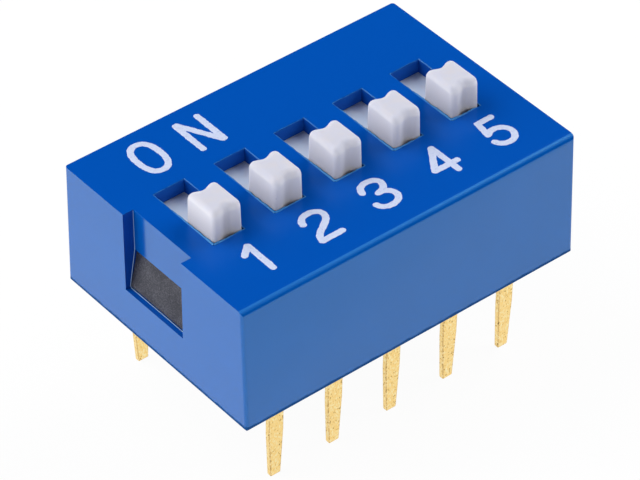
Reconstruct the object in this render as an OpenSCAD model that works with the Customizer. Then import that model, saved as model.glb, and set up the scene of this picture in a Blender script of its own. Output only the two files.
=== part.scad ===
// Slide switch: five raised slide switches side by side in a blue housing, with two rows of
// terminals on the 2.54 mm through-hole pattern.
// Millimetres, +Z up. The origin is the centre of the seating plane, at the cover's lower rim.
// X runs from position 1 to position 5, Y from the number side (off) to the ON side.

/* [Cover] */
// Distance from one position to the next
pitch = 2.54; // [2.4:0.02:2.9]
// Height of the cover above the seating plane
body_h = 5.05; // [4.9:0.05:6]
// Thickness of the cover's long walls at the foot
side_t = 0.65; // [0.5:0.05:0.9]
// Thickness of the cover's end walls at the foot, above the latch ledge
end_t = 0.94; // [0.8:0.02:1.4]
// Thickness of the cover's end walls below the latch ledge
rim_t = 0.5; // [0.4:0.02:0.6]
// Thickness of the cover's top
top_t = 0.55; // [0.5:0.05:0.9]
// Thickness of the cover's ribs and the base's walls between two positions
rib_t = 0.4; // [0.3:0.02:0.5]
// How far the number side leans in over the cover's height
front_draft = 0.15; // [0:0.01:0.25]
// How far the ON side leans in over the cover's height
rear_draft = 0.12; // [0:0.01:0.25]
// How far each end leans in over the cover's height
end_draft = 0.01; // [0:0.01:0.1]
// Radius along the top edge of the number side
front_edge_r = 0.25; // [0.1:0.05:0.4]
// Radius of the cover's upright corners
corner_r = 0.13; // [0.05:0.01:0.25]
// Bevel along the cover's foot
foot_bevel = 0.06; // [0.02:0.01:0.12]
// How far the slots sit from the middle of the cover towards the ON side
slot_shift = 0.12; // [0:0.005:0.2]
// Bevel round the mouth of each slot
mouth_bevel = 0.03; // [0.02:0.01:0.08]

/* [End latches] */
// Width of the latch window in each end and of the notch above it at position 1
recess_w = 3.12; // [2.6:0.02:4.2]
// Depth of the notch in the end at position 1
recess_d = 0.44; // [0.25:0.01:0.5]
// Height of the ledge that each latch catches on
ledge_z = 1.78; // [1.7:0.02:2.1]
// Height of each latch window above its ledge
window_h = 1.55; // [1.1:0.01:1.7]
// How far the latch's lower edge stands out of the notch's back
latch_bite = 0.25; // [0.1:0.01:0.25]
// How far the latch's upper edge lies behind the notch's back
latch_back = 0.07; // [0.02:0.01:0.15]
// Radius of each latch's two upper corners
latch_r = 0.1; // [0.05:0.01:0.2]

/* [Actuators] */
// Travel of each actuator, from off to ON
travel = 1.68; // [1.5:0.02:2]
// Length of each knob, along the travel
knob_l = 1.5; // [1.4:0.02:1.7]
// Width of each knob
knob_w = 1.19; // [0.95:0.01:1.3]
// Height of each knob above the cover
knob_h = 1.2; // [0.6:0.05:1.6]
// Depth of the finger groove in the front and the back of each knob
groove_d = 0.15; // [0.05:0.01:0.25]
// Width of the finger groove
groove_w = 0.7; // [0.4:0.02:0.74]
// Radius of a knob's upright corners and of the sides of its top
knob_r = 0.18; // [0.08:0.01:0.22]
// Radius over the front and the back of a knob's top
knob_top_r = 0.3; // [0.15:0.01:0.35]
// Thickness of the plate that closes the slot under each knob
plate_t = 0.6; // [0.4:0.05:0.7]
// How far the plate reaches past the slot at each end of its travel
plate_lap = 0.16; // [0.1:0.02:0.3]
// Thickness of the walls round the contact's pocket
pocket_wall = 0.18; // [0.14:0.01:0.22]
// Depth of the pocket that holds the contact's back
pocket_d = 0.9; // [0.6:0.05:1.1]

/* [Contacts] */
// Width of each moving contact
contact_w = 1.2; // [0.9:0.02:1.22]
// Thickness of each moving contact
contact_t = 0.12; // [0.08:0.01:0.15]
// Height of each moving contact, from its feet to its back
contact_h = 1.4; // [1.2:0.05:1.6]
// Width of the slit that parts each contact arm in two
slit_w = 0.3; // [0.2:0.02:0.4]
// Length of the toe that curls up past each foot
toe_l = 0.2; // [0.1:0.02:0.3]
// Distance from a strip's inner end to the foot that stands on it when the switch is on
foot_land = 0.45; // [0.3:0.05:0.5]

/* [Terminals] */
// Distance between the two rows of terminals
row_pitch = 7.62; // [7.4:0.02:8.2]
// Thickness of the terminal strip
strip_t = 0.2; // [0.15:0.01:0.25]
// Width of the strip inside the base
strip_w = 0.9; // [0.7:0.02:1.2]
// Gap between the front and the rear strip of one position
strip_gap = 1.1; // [0.9:0.05:1.2]
// Width of each terminal where it leaves the base
tail_w = 0.62; // [0.5:0.02:0.7]
// Width of each terminal at its tip
tip_w = 0.42; // [0.3:0.02:0.48]
// Length over which each terminal narrows to its tip
taper_l = 2; // [1:0.1:2.6]
// Length of each terminal below the seating plane
tail_l = 4; // [2.8:0.05:4.5]
// How far each terminal leans in from the seating plane to its tip
tail_lean = 0.12; // [0:0.01:0.25]
// Outer radius of the bend in each terminal
bend_r = 0.35; // [0.3:0.01:0.45]

/* [Base] */
// Height of the base's underside above the seating plane
base_lift = 0.2; // [0.1:0.02:0.4]
// Height of the floor that carries the terminal strips
floor_z = 1.5; // [1.3:0.02:1.6]
// Thickness of the base outside the terminals' legs
base_edge = 0.3; // [0.2:0.02:0.8]

/* [Clearances] */
// Gap round the base where it seats in the cover
seat_gap = 0.04; // [0.02:0.01:0.06]
// Play between each latch and its ledge
latch_gap = 0.1; // [0.04:0.01:0.15]
// Running gap round each slider
run_gap = 0.03; // [0.02:0.01:0.06]
// Gap between a knob and each long side of its slot
knob_gap = 0.04; // [0.03:0.005:0.1]
// Gap between a knob and the end of its slot where it stops
stop_gap = 0.03; // [0.03:0.01:0.1]
// Gap round the moving contact in its pocket
pocket_gap = 0.05; // [0.02:0.01:0.06]
// Free height between a contact's feet and the terminal strips
foot_gap = 0.03; // [0.02:0.01:0.05]
// Room between the contact carrier and the ends of its cell
cell_play = 0.3; // [0.1:0.05:0.4]

/* [Hidden] */
positions = 5;
// Overlap of a cut past the face that it opens, and of a joined piece into its neighbour
over = 0.05;

// Terminals, and the base round them
leg_y = row_pitch / 2;
shoulder_z = floor_z - bend_r;
base_half_w = leg_y + strip_t / 2 + base_edge;

// Cover
row_half = (positions - 1) / 2 * pitch;
cell_w = pitch - rib_t;
cell_end = row_half + cell_w / 2;
cover_end = cell_end + seat_gap;
half_l = cover_end + end_t;
rim_half_l = half_l - rim_t;
inner_half_w = base_half_w + seat_gap;
half_w = inner_half_w + side_t;
under_top_z = body_h - top_t;
recess_x = half_l - recess_d;
window_z = ledge_z + window_h;

// Slider
slot_w = knob_w + 2 * knob_gap;
slot_l = knob_l + travel + 2 * stop_gap;
off_y = slot_shift - travel / 2;
plate_w = cell_w - 2 * run_gap;
plate_l = 2 * (travel + stop_gap + knob_l / 2 + plate_lap);
plate_top_z = under_top_z - run_gap;
plate_z = plate_top_z - plate_t;
knob_top_z = body_h + knob_h;

// Contact and its carrier; with the switch on, the contact stands in the middle, over both strips
contact_y = -travel;
foot_half = strip_gap / 2 + foot_land;
feet_z = floor_z + foot_gap;
pocket_top_z = feet_z + contact_h;
pocket_w = contact_w + 2 * pocket_gap;
pocket_l = 2 * (foot_half + toe_l + pocket_gap);
carrier_w = pocket_w + 2 * pocket_wall;
carrier_l = pocket_l + 2 * pocket_wall;
carrier_z = pocket_top_z - pocket_d;

// Base
base_half_l = rim_half_l - seat_gap;
base_top_z = plate_z - run_gap;
cell_half_l = travel + carrier_l / 2 + cell_play;

function position_x(i) = (i - 1) * pitch - row_half;

// An axis-aligned block between two opposite corners
module block(low, high) {
    translate(low) cube(high - low);
}

// A block that is mirrored about the YZ and XZ planes
module centred_block(half_x, half_y, z0, z1) {
    block([-half_x, -half_y, z0], [half_x, half_y, z1]);
}

// Extrudes an outline drawn in Y and Z along X, about x = 0
module across_x(width) {
    rotate([90, 0, 90]) translate([0, 0, -width / 2]) linear_extrude(width) children();
}

// Extrudes an outline drawn in X and Z along Y, about y = 0
module across_y(width) {
    rotate([90, 0, 0]) translate([0, 0, -width / 2]) linear_extrude(width) children();
}

// Where the two edges of a strip of even thickness meet its centre line's bend at point k
function mitre(line, k, thickness) =
    let (
        last = len(line) - 1,
        a = line[max(k, 1)] - line[max(k, 1) - 1],
        b = line[min(k + 1, last)] - line[min(k, last - 1)],
        before = [-a[1], a[0]] / norm(a),
        after = [-b[1], b[0]] / norm(b),
        middle = before + after
    )
    middle / (middle * before) * thickness / 2;

// A strip of even thickness along a line of points
module ribbon(line, thickness) {
    last = len(line) - 1;
    polygon(concat(
        [for (k = [0:last]) line[k] + mitre(line, k, thickness)],
        [for (k = [last:-1:0]) line[k] - mitre(line, k, thickness)]
    ));
}

// Cover ------------------------------------------------------------------------------------------

// Points of an arc from one angle to another
function arc(centre, r, from, to, steps) =
    [for (k = [0:steps]) let (a = from + (to - from) * k / steps) centre + r * [cos(a), sin(a)]];

// Cross-section of the cover: leaning walls, a bevelled foot and a rounded edge on the number side
module cover_section() {
    turn = 90 - atan(front_draft / body_h);
    edge_y = front_draft - half_w + front_edge_r * tan(turn / 2);
    polygon(concat(
        [[foot_bevel - half_w, 0], [half_w - foot_bevel, 0], [half_w, foot_bevel]],
        [[half_w - rear_draft, body_h]],
        arc([edge_y, body_h - front_edge_r], front_edge_r, 90, 90 + turn, 8),
        [[-half_w, foot_bevel]]
    ));
}

// Section of the cover from end to end
module cover_long_section() {
    polygon([
        [foot_bevel - half_l, 0],
        [half_l - foot_bevel, 0],
        [half_l, foot_bevel],
        [half_l - end_draft, body_h],
        [end_draft - half_l, body_h],
        [-half_l, foot_bevel]
    ]);
}

// What the radius takes off the upright corner at the origin, where the walls run to +X and +Y
module corner_cut(draft_x, draft_y) {
    rotate([-atan(draft_y / body_h), atan(draft_x / body_h), 0])
        translate([0, 0, -over]) linear_extrude(body_h + 2 * over) polygon(concat(
            [[-over, -over], [corner_r, -over]],
            arc([corner_r, corner_r], corner_r, 270, 180, 6),
            [[-over, corner_r]]
        ));
}

module cover_body() {
    difference() {
        intersection() {
            across_x(2 * half_l) cover_section();
            across_y(2 * half_w) cover_long_section();
        }
        for (end = [0, 1]) mirror([end, 0, 0]) {
            translate([-half_l, -half_w, 0]) corner_cut(end_draft, front_draft);
            mirror([0, 1, 0]) translate([-half_l, -half_w, 0]) corner_cut(end_draft, rear_draft);
        }
    }
}

// A slot with a bevelled mouth, through the top
module slot() {
    top = body_h + over;
    edge = mouth_bevel + over;
    centred_block(slot_w / 2, slot_l / 2, under_top_z - over, top);
    intersection() {
        across_y(slot_l + 2 * edge) polygon([
            [-slot_w / 2, body_h - mouth_bevel],
            [slot_w / 2, body_h - mouth_bevel],
            [slot_w / 2 + edge, top],
            [-slot_w / 2 - edge, top]
        ]);
        across_x(slot_w + 2 * edge) polygon([
            [-slot_l / 2, body_h - mouth_bevel],
            [slot_l / 2, body_h - mouth_bevel],
            [slot_l / 2 + edge, top],
            [-slot_l / 2 - edge, top]
        ]);
    }
}

// The window in one end through which the latch snaps
module latch_window() {
    block([cell_end, -recess_w / 2, ledge_z], [half_l + over, recess_w / 2, window_z]);
}

// The notch that opens the end at position 1 from its window to the top
module end_notch() {
    block([-half_l - over, -recess_w / 2, ledge_z], [-recess_x, recess_w / 2, body_h + over]);
}

module cover() {
    color("#0a50b4") difference() {
        cover_body();
        centred_block(rim_half_l, inner_half_w, -over, ledge_z);
        centred_block(cover_end, inner_half_w, 0, plate_z);
        for (i = [1:positions]) translate([position_x(i), 0, 0]) {
            centred_block(cell_w / 2, inner_half_w, plate_z - over, under_top_z);
            translate([0, slot_shift, 0]) slot();
        }
        latch_window();
        mirror([1, 0, 0]) latch_window();
        end_notch();
    }
}

// Base -------------------------------------------------------------------------------------------

// A snap wedge that stands up from the base's end, through the cover's window, over the ledge
module latch() {
    catch_z = ledge_z + latch_gap;
    top_z = window_z - seat_gap;
    side_y = recess_w / 2 - seat_gap;
    intersection() {
        across_y(2 * side_y) polygon([
            [cell_end, floor_z - over],
            [base_half_l, floor_z - over],
            [base_half_l, catch_z],
            [recess_x + latch_bite, catch_z],
            [recess_x - latch_back, top_z],
            [cell_end, top_z]
        ]);
        across_x(2 * half_l) polygon(concat(
            [[-side_y, floor_z - over], [side_y, floor_z - over]],
            arc([side_y - latch_r, top_z - latch_r], latch_r, 0, 90, 6),
            arc([latch_r - side_y, top_z - latch_r], latch_r, 90, 180, 6)
        ));
    }
}

module base_end() {
    block([cell_end, -base_half_w, base_lift], [base_half_l, base_half_w, ledge_z - seat_gap]);
    latch();
}

module base() {
    color("#3a3a42") difference() {
        union() {
            centred_block(base_half_l, base_half_w, base_lift, floor_z);
            difference() {
                centred_block(cell_end, base_half_w, base_lift, base_top_z);
                for (i = [1:positions]) translate([position_x(i), 0, 0])
                    centred_block(cell_w / 2, cell_half_l, floor_z, base_top_z + over);
            }
            base_end();
            mirror([1, 0, 0]) base_end();
        }
        for (i = [1:positions]) {
            terminal_front(i);
            terminal_rear(i);
        }
    }
}

// Actuators --------------------------------------------------------------------------------------

// Depth of the finger groove at a distance x from the knob's middle
function groove(x) = abs(x) < groove_w / 2 ? groove_d * pow(cos(180 * x / groove_w), 2) : 0;

// Points along a straight stretch, without its ends
function between(a, b, count) = [for (k = [1:count]) a + (b - a) * k / (count + 1)];

// How far a rounded top edge has drawn the side in at a depth below the top
function drawn_in(r, depth) = depth < r ? r - sqrt(r * r - pow(r - depth, 2)) : 0;

// One level of the knob, at a depth below its top: a rounded rectangle with a groove front and back
function knob_ring(depth) =
    let (
        side = drawn_in(knob_r, depth),
        r = max(knob_r - side, knob_r / 8),
        z = knob_top_z - depth,
        cx = knob_w / 2 - side - r,
        cy = knob_l / 2 - drawn_in(knob_top_r, depth) - r,
        corner = function (start, sx, sy) arc([sx * cx, sy * cy], r, start, start + 90, 5),
        rear = [for (x = between([cx, 0], [-cx, 0], 13)) [x[0], cy + r]],
        front = [for (x = between([-cx, 0], [cx, 0], 13)) [x[0], -cy - r]],
        ring = concat(
            corner(0, 1, 1), rear, corner(90, -1, 1), corner(180, -1, -1), front, corner(270, 1, -1)
        )
    )
    [for (p = ring) [p[0], p[1] - sign(p[1]) * groove(p[0]), z]];

// A closed skin through equal rings of points, the lowest first
module loft(rings) {
    n = len(rings[0]);
    last = len(rings) - 1;
    polyhedron(
        points = [for (ring = rings) each ring],
        faces = concat(
            [[for (k = [0:n - 1]) k]],
            [for (j = [0:last - 1], k = [0:n - 1])
                [j * n + k, (j + 1) * n + k, (j + 1) * n + (k + 1) % n, j * n + (k + 1) % n]],
            [[for (k = [n - 1:-1:0]) last * n + k]]
        )
    );
}

module knob() {
    steps = 6;
    loft(concat(
        [knob_ring(knob_top_z - plate_top_z + over)],
        [for (k = [0:steps]) knob_ring(knob_top_r * (1 - sin(90 * k / steps)))]
    ));
}

module actuator(i) {
    color("#e4e4ee") translate([position_x(i), 0, 0]) {
        translate([0, off_y, 0]) {
            knob();
            centred_block(plate_w / 2, plate_l / 2, plate_z, plate_top_z);
        }
        translate([0, contact_y, 0]) difference() {
            centred_block(carrier_w / 2, carrier_l / 2, carrier_z, plate_z + over);
            centred_block(pocket_w / 2, pocket_l / 2, carrier_z - over, pocket_top_z);
        }
    }
}

// Moving contacts --------------------------------------------------------------------------------

// Centre line of one spring arm, from the middle of the back to the tip of the toe
function arm_line() =
    let (
        back_z = pocket_top_z - contact_t / 2,
        foot_z = feet_z + contact_t / 2,
        shoulder_y = foot_half / 6,
        bend = 16,
        toe_rise = toe_l / 2
    )
    concat(
        [[0, back_z]],
        [for (k = [0:bend])
            let (u = k / bend)
            [shoulder_y + (foot_half - shoulder_y) * u,
             back_z + (foot_z - back_z) * (1 - cos(180 * u)) / 2]],
        [for (k = [1:4])
            let (u = k / 4)
            [foot_half + (toe_l - contact_t / 2) * u, foot_z + toe_rise * u * u]]
    );

module moving_contact(i) {
    half_line = arm_line();
    mirrored = [for (k = [len(half_line) - 1:-1:1]) [-half_line[k][0], half_line[k][1]]];
    color("#d8a860") translate([position_x(i), contact_y, 0]) difference() {
        across_x(contact_w) ribbon(concat(mirrored, half_line), contact_t);
        for (side = [-1, 1]) translate([0, side * foot_half, 0])
            centred_block(slit_w / 2, foot_half - foot_half / 3, feet_z - over, pocket_top_z + over);
    }
}

// Terminals --------------------------------------------------------------------------------------

// Centre line seen along the row: strip, bend, leg and leaning tail
function terminal_line() =
    let (
        strip_z = floor_z - strip_t / 2,
        r = bend_r - strip_t / 2
    )
    concat(
        [[strip_gap / 2, strip_z]],
        arc([leg_y - r, strip_z - r], r, 90, 0, 9),
        [[leg_y, 0], [leg_y - tail_lean, -tail_l]]
    );

// Outline seen from the row's side: wide strip, shoulders and a tail that narrows to its tip
module terminal_front_view() {
    slope = (strip_w - tail_w) / 2;
    right = [
        [strip_w / 2, floor_z],
        [strip_w / 2, shoulder_z],
        [tail_w / 2, shoulder_z - slope],
        [tail_w / 2, taper_l - tail_l],
        [tip_w / 2, -tail_l]
    ];
    left = [for (k = [len(right) - 1:-1:0]) [-right[k][0], right[k][1]]];
    polygon(concat(right, left));
}

module terminal() {
    intersection() {
        across_x(strip_w) ribbon(terminal_line(), strip_t);
        across_y(2 * half_w) terminal_front_view();
    }
}

module terminal_rear(i) {
    color("#d9b45c") translate([position_x(i), 0, 0]) terminal();
}

module terminal_front(i) {
    color("#d9b45c") translate([position_x(i), 0, 0]) mirror([0, 1, 0]) terminal();
}

// ------------------------------------------------------------------------------------------------

cover();
base();
for (i = [1:positions]) {
    actuator(i);
    moving_contact(i);
    terminal_front(i);
    terminal_rear(i);
}
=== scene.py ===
"""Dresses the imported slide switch: refined mouldings, finishes, printed legend, terminals, studio and camera.

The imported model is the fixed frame. Forms are worked out in millimetres, where a bevel of a few hundredths
is well above the modelling tools' own tolerances. Each finished mesh is scaled once into the frame's metres.
"""

from __future__ import annotations

import logging
import math
from contextlib import contextmanager
from dataclasses import dataclass, field
from enum import Enum
from typing import Callable, ClassVar, Iterator, Mapping, Optional, Sequence, Union

import bmesh
import bpy
from mathutils import Matrix, Vector


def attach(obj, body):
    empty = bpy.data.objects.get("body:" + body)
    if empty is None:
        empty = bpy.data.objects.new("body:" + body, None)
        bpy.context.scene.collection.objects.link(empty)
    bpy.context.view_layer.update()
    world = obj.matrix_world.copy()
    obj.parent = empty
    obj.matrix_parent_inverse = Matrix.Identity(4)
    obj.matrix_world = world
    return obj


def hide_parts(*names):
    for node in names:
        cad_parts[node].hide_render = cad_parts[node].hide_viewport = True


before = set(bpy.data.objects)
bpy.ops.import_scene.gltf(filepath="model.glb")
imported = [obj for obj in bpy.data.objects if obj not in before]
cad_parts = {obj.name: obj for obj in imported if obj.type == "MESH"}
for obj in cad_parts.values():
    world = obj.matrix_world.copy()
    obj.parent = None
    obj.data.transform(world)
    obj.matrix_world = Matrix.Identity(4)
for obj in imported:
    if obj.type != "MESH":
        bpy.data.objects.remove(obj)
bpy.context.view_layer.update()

LOG = logging.getLogger("slide_switch")
HOUSING = "housing"
POSITIONS = 5
PITCH = 2.54  # between neighbouring positions, in millimetres
MM = 0.001  # a millimetre in the frame's metres
MERGE_DISTANCE = 0.0004  # points nearer than this, in millimetres, are one point
FLAT_ANGLE = 0.6  # faces within this angle, in degrees, are one flat side
ROUND_ANGLE = 60.0  # edges of a round form past this angle, in degrees, stay sharp
FACE_WEIGHT = 80  # how far the larger faces lead the normals, up to 100

Colour = tuple[float, float, float]
Point = tuple[float, float, float]
Spot = tuple[float, float]  # a place on the top face
Band = tuple[float, float]  # the values where a change starts and ends


class FinishSlot(str, Enum):
    """The record's material slots."""

    BLUE = "blue_plastic"
    BLACK = "black_plastic"
    WHITE = "white_plastic"
    SPRING = "spring_bronze"
    GOLD = "gold_plate"


class RowSide(Enum):
    """The two rows of terminals, as turns about the upright axis."""

    REAR = 0.0
    FRONT = math.pi


# Node graphs ----------------------------------------


class Signal:
    """A node socket that takes part in Python arithmetic. Each operator adds one Math node."""

    def __init__(self, graph: Graph, socket: bpy.types.NodeSocket) -> None:
        """Keeps the socket with the graph that it belongs to."""
        self.graph = graph
        self.socket = socket

    def math(self, operation: str, *terms: Term) -> Signal:
        """The result of a Math node with an operation and its inputs in order."""
        return self.graph.add("ShaderNodeMath", {"operation": operation}, dict(enumerate(terms)))

    def __add__(self, other: Term) -> Signal:
        """self + other."""
        return self.math("ADD", self, other)

    def __radd__(self, other: Term) -> Signal:
        """other + self."""
        return self.math("ADD", other, self)

    def __sub__(self, other: Term) -> Signal:
        """self - other."""
        return self.math("SUBTRACT", self, other)

    def __rsub__(self, other: Term) -> Signal:
        """other - self."""
        return self.math("SUBTRACT", other, self)

    def __mul__(self, other: Term) -> Signal:
        """self * other."""
        return self.math("MULTIPLY", self, other)

    def __rmul__(self, other: Term) -> Signal:
        """other * self."""
        return self.math("MULTIPLY", other, self)

    def __truediv__(self, other: Term) -> Signal:
        """self / other."""
        return self.math("DIVIDE", self, other)

    def __rtruediv__(self, other: Term) -> Signal:
        """other / self."""
        return self.math("DIVIDE", other, self)

    def absolute(self) -> Signal:
        """The value without its sign."""
        return self.math("ABSOLUTE", self)

    def sign(self) -> Signal:
        """-1, 0 or 1, as the value is below, at or above 0."""
        return self.math("SIGN", self)

    def below(self, limit: Term) -> Signal:
        """1 where the value is less than a limit, and 0 elsewhere."""
        return self.math("LESS_THAN", self, limit)

    def clamped(self) -> Signal:
        """The value held between 0 and 1."""
        return self.graph.add("ShaderNodeClamp", None, {0: self})

    def smooth(self, start: Term, end: Term) -> Signal:
        """0 at start and before it, 1 at end and past it, with an even turn between."""
        sockets = {"Value": self, "From Min": start, "From Max": end}
        return self.graph.add("ShaderNodeMapRange", {"interpolation_type": "SMOOTHSTEP"}, sockets)


Term = Union[Signal, float, int, bool, Sequence[float], bpy.types.ID]
Key = Union[int, str]
Sockets = dict[Key, Term]


class Graph:
    """A node tree, and the one method that adds a node to it."""

    def __init__(self, tree: bpy.types.NodeTree) -> None:
        """Keeps the tree and empties it."""
        self.tree = tree
        self.tree.nodes.clear()

    @staticmethod
    def _find(sockets: bpy.types.bpy_prop_collection, key: Key) -> bpy.types.NodeSocket:
        """One of a node's sockets.

        Args:
            sockets: The node's inputs or its outputs.
            key: The socket's index, its identifier, or the name of one in use.

        Returns:
            The socket.
        """
        if isinstance(key, int):
            return sockets[key]
        for socket in sockets:
            if socket.identifier == key:
                return socket
        return next(socket for socket in sockets if socket.name == key and socket.enabled)

    def add(
        self,
        kind: str,
        settings: Optional[Mapping[str, object]] = None,
        sockets: Optional[Sockets] = None,
        out: Key = 0,
    ) -> Signal:
        """Adds a node, gives it its settings and then fills its sockets.

        Args:
            kind: The node's type.
            settings: Its properties by name.
            sockets: Values or signals by a socket's index, identifier or name.
            out: The output that is returned.

        Returns:
            The chosen output, or the last input of a node that has none.
        """
        node = self.tree.nodes.new(kind)
        for name, value in (settings or {}).items():
            setattr(node, name, value)
        for key, value in (sockets or {}).items():
            socket = self._find(node.inputs, key)
            if isinstance(value, Signal):
                self.tree.links.new(value.socket, socket)
            elif socket.type == "RGBA" and len(value) == 3:
                socket.default_value = (*value, 1.0)
            else:
                socket.default_value = value
        return Signal(self, self._find(node.outputs, out) if node.outputs else node.inputs[-1])

    def split(self, vector: Signal) -> tuple[Signal, ...]:
        """The three parts of a vector."""
        node = self.add("ShaderNodeSeparateXYZ", None, {"Vector": vector}).socket.node
        return tuple(Signal(self, part) for part in node.outputs)


@dataclass(frozen=True)
class Noise:
    """An even noise: its features' size in millimetres, its finer layers, their weight, and its stretch."""

    feature: float
    detail: float = 3.0
    weight: float = 0.55
    stretch: Point = (1.0, 1.0, 1.0)


@dataclass(frozen=True)
class Specks:
    """Scattered round specks.

    The spacing is in millimetres, the radius in spacings, and the share is how many places hold a speck.
    Solid is the part of the radius that doesn't fade, and onset the band of chances where a speck comes in.
    """

    spacing: float
    radius: float
    share: float
    solid: float = 0.6
    onset: Band = (0.01, 0.03)


class ShaderGraph(Graph):
    """A material's node tree, with the patterns that the finishes share."""

    def __init__(self, name: str) -> None:
        """Makes the material and its empty tree.

        Args:
            name: The material's name.
        """
        self.material = bpy.data.materials.new(name)
        self.material.use_nodes = True
        super().__init__(self.material.node_tree)
        self.place = self.add("ShaderNodeTexCoord", out="Object")

    def noise(self, pattern: Noise) -> Signal:
        """A noise fixed to the piece.

        Args:
            pattern: The noise's sizes.

        Returns:
            The noise, about 0.5 on average.
        """
        shrunk = {"Vector": self.place, "Scale": [1 / s for s in pattern.stretch]}
        sockets = {
            "Vector": self.add("ShaderNodeMapping", {"vector_type": "POINT"}, shrunk),
            "Scale": 1 / (pattern.feature * MM),
            "Detail": pattern.detail,
            "Roughness": pattern.weight,
        }
        return self.add("ShaderNodeTexNoise", {"noise_dimensions": "3D"}, sockets)

    def specks(self, pattern: Specks) -> Signal:
        """Round specks, scattered at random.

        Args:
            pattern: The specks' sizes.

        Returns:
            1 inside a speck and 0 outside.
        """
        settings = {"voronoi_dimensions": "3D", "feature": "F1"}
        sockets = {"Vector": self.place, "Scale": 1 / (pattern.spacing * MM)}
        distance = self.add("ShaderNodeTexVoronoi", settings, sockets, out="Distance")
        cell = self.add("ShaderNodeTexVoronoi", settings, sockets, out="Color")
        chance = self.add("ShaderNodeSeparateColor", None, {"Color": cell}, out="Red")
        start, end = (1 - pattern.share + step for step in pattern.onset)
        return distance.smooth(pattern.radius, pattern.radius * pattern.solid) * chance.smooth(start, end)

    def mix(self, factor: Term, first: Term, second: Term) -> Signal:
        """A colour between two colours: the first where the factor is 0, and the second where it is 1."""
        sockets = {"Factor_Float": factor, "A_Color": first, "B_Color": second}
        return self.add("ShaderNodeMix", {"data_type": "RGBA"}, sockets, out="Result_Color")

    def bump(self, height: Signal, depth: float, under: Optional[Signal] = None) -> Signal:
        """A normal that follows a height.

        Args:
            height: The height, from 0 to 1.
            depth: What a height of 1 stands for, in millimetres.
            under: A normal that this one is added to.

        Returns:
            The new normal.
        """
        sockets: Sockets = {"Strength": 1.0, "Distance": depth * MM, "Height": height}
        if under is not None:
            sockets["Normal"] = under
        return self.add("ShaderNodeBump", None, sockets)

    def coordinate(self, axis: int) -> Signal:
        """The place along one axis of the piece, in millimetres."""
        return self.split(self.place)[axis] / MM

    def facing(self, axis: int) -> Signal:
        """How far the surface faces along one axis of the piece."""
        return self.split(self.add("ShaderNodeTexCoord", out="Normal"))[axis]

    def principled(self, sockets: Sockets) -> Signal:
        """A Principled shader with its sockets filled."""
        return self.add("ShaderNodeBsdfPrincipled", None, sockets, out="BSDF")

    def blend(self, factor: Signal, first: Signal, second: Signal) -> Signal:
        """A shader between two shaders: the first where the factor is 0, and the second where it is 1."""
        return self.add("ShaderNodeMixShader", None, {0: factor, 1: first, 2: second})

    def close(self, surface: Signal) -> bpy.types.Material:
        """Ends the tree in its surface, and hands over the finished material."""
        self.add("ShaderNodeOutputMaterial", None, {"Surface": surface})
        return self.material


# Finishes ----------------------------------------


@dataclass(frozen=True)
class Finish:
    """A surface finish with a name of its own. Its material is made once."""

    name: str

    def sockets(self, graph: ShaderGraph) -> Sockets:
        """The Principled shader's sockets for this finish."""
        raise NotImplementedError

    def surface(self, graph: ShaderGraph) -> Signal:
        """The finish's whole shader."""
        return graph.principled(self.sockets(graph))

    def material(self) -> bpy.types.Material:
        """The finish's material.

        Returns:
            The material, which is made at the first call.
        """
        known = bpy.data.materials.get(self.name)
        if known is not None:
            return known
        graph = ShaderGraph(self.name)
        return graph.close(self.surface(graph))


@dataclass(frozen=True)
class GlossMoulding(Finish):
    """Dyed thermoplastic from a polished mould: faint flow marks, fine dust and a low, even gloss."""

    colour: Colour = (0.0, 0.084, 0.40)
    streak: Colour = (0.0, 0.094, 0.44)
    roughness: float = 0.13
    refraction: float = 1.69
    tint: Colour = (0.55, 1.0, 0.76)
    flow: Noise = Noise(2.6, 2.0, stretch=(1.0, 2.5, 1.0))
    flow_band: Band = (0.35, 0.75)
    flow_colour: float = 0.5
    flow_roughness: float = 0.015
    dust: Noise = Noise(0.09)
    dust_colour: float = 0.25
    dust_roughness: float = 0.02
    dust_depth: float = 0.0004
    peel: Noise = Noise(0.5, 2.0)
    peel_depth: float = 0.0012

    def sockets(self, graph: ShaderGraph) -> Sockets:
        """Flow marks in the colour, dust in the gloss and a shallow orange-peel in the normal.

        Args:
            graph: The material's node tree.

        Returns:
            The Principled shader's sockets.
        """
        flow = graph.noise(self.flow).smooth(*self.flow_band)
        dust = graph.noise(self.dust)
        marks = flow * self.flow_colour + dust * self.dust_colour
        peel = graph.bump(graph.noise(self.peel), self.peel_depth)
        return {
            "Base Color": graph.mix(marks, self.colour, self.streak),
            "Roughness": self.roughness + flow * self.flow_roughness + dust * self.dust_roughness,
            "IOR": self.refraction,
            "Specular Tint": self.tint,
            "Normal": graph.bump(dust, self.dust_depth, peel),
        }


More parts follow.
